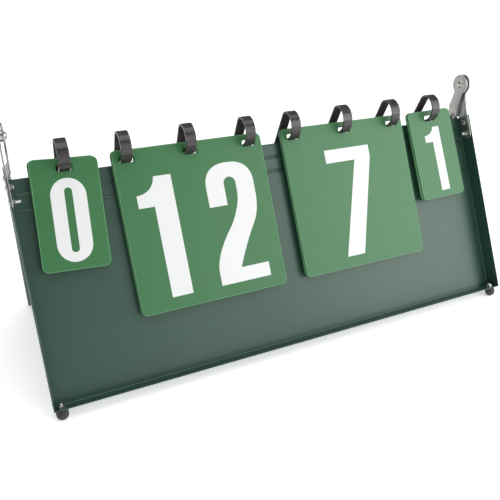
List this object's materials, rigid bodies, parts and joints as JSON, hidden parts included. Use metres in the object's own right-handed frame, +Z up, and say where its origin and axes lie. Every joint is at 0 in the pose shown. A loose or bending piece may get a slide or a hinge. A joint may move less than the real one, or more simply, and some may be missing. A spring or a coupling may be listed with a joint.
{
  "type": "tabletop flip scoreboard",
  "caption": "Folding sheet-steel flip scoreboard: two trays hinged at the top stand as an A-frame, with strap rings carrying numbered cards that flip over.",
  "frame": {"origin": "On the table, midway between the four feet, under the fold axis.", "axes": "+X along the trays to the reader's right, -Y towards the reader in front of the score, +Z up."},
  "size_m": [0.604, 0.2542, 0.2812],
  "materials": {
    "paint": "satin dark green powder coat",
    "zinc": "dull zinc plate",
    "rubber": "matt black rubber",
    "ring": "glossy black",
    "card": "satin green plastic sheet with printed white numerals"
  },
  "bodies": {
    "front_frame": {"front_tray": "paint", "front_arm_left": "zinc", "front_arm_right": "zinc", "pivot_rivet_left": "zinc", "pivot_rivet_right": "zinc", "pivot_spacer_left": "zinc", "pivot_spacer_right": "zinc", "front_arm_screws": "zinc", "front_arm_nuts": "zinc", "front_foot_left": "rubber", "front_foot_right": "rubber", "front_foot_studs": "zinc", "front_foot_nuts": "zinc", "ring_1": "ring", "ring_2": "ring", "ring_3": "ring", "ring_4": "ring", "ring_5": "ring", "ring_6": "ring", "ring_7": "ring", "ring_8": "ring", "ring_rivets": "zinc", "set_pack_left": "card", "score_pack_left": "card", "score_pack_right": "card", "set_pack_right": "card"},
    "rear_frame": {"rear_tray": "paint", "rear_arm_left": "zinc", "rear_arm_right": "zinc", "rear_arm_screws": "zinc", "rear_arm_nuts": "zinc", "rear_foot_left": "rubber", "rear_foot_right": "rubber", "rear_foot_studs": "zinc", "rear_foot_nuts": "zinc"},
    "set_card_left_body": {"set_card_left": "card"},
    "score_card_left_body": {"score_card_left": "card"},
    "score_card_right_body": {"score_card_right": "card"},
    "set_card_right_body": {"set_card_right": "card"}
  },
  "joints": [
    {"name": "tray_fold", "type": "hinge", "parent": "front_frame", "child": "rear_frame", "pos_m": [0, 0, 0.26818], "axis": [1, 0, 0], "range_deg": [0, 306.52]},
    {"name": "set_card_turn_left", "type": "hinge", "parent": "front_frame", "child": "set_card_left_body", "pos_m": [-0.241, -0.00101, 0.24216], "axis": [-1, 0, 0], "range_deg": [0, 245]},
    {"name": "score_card_turn_left", "type": "hinge", "parent": "front_frame", "child": "score_card_left_body", "pos_m": [-0.103, -0.00101, 0.24216], "axis": [-1, 0, 0], "range_deg": [0, 245]},
    {"name": "score_card_turn_right", "type": "hinge", "parent": "front_frame", "child": "score_card_right_body", "pos_m": [0.103, -0.00101, 0.24216], "axis": [-1, 0, 0], "range_deg": [0, 245]},
    {"name": "set_card_turn_right", "type": "hinge", "parent": "front_frame", "child": "set_card_right_body", "pos_m": [0.241, -0.00101, 0.24216], "axis": [-1, 0, 0], "range_deg": [0, 245]}
  ]
}
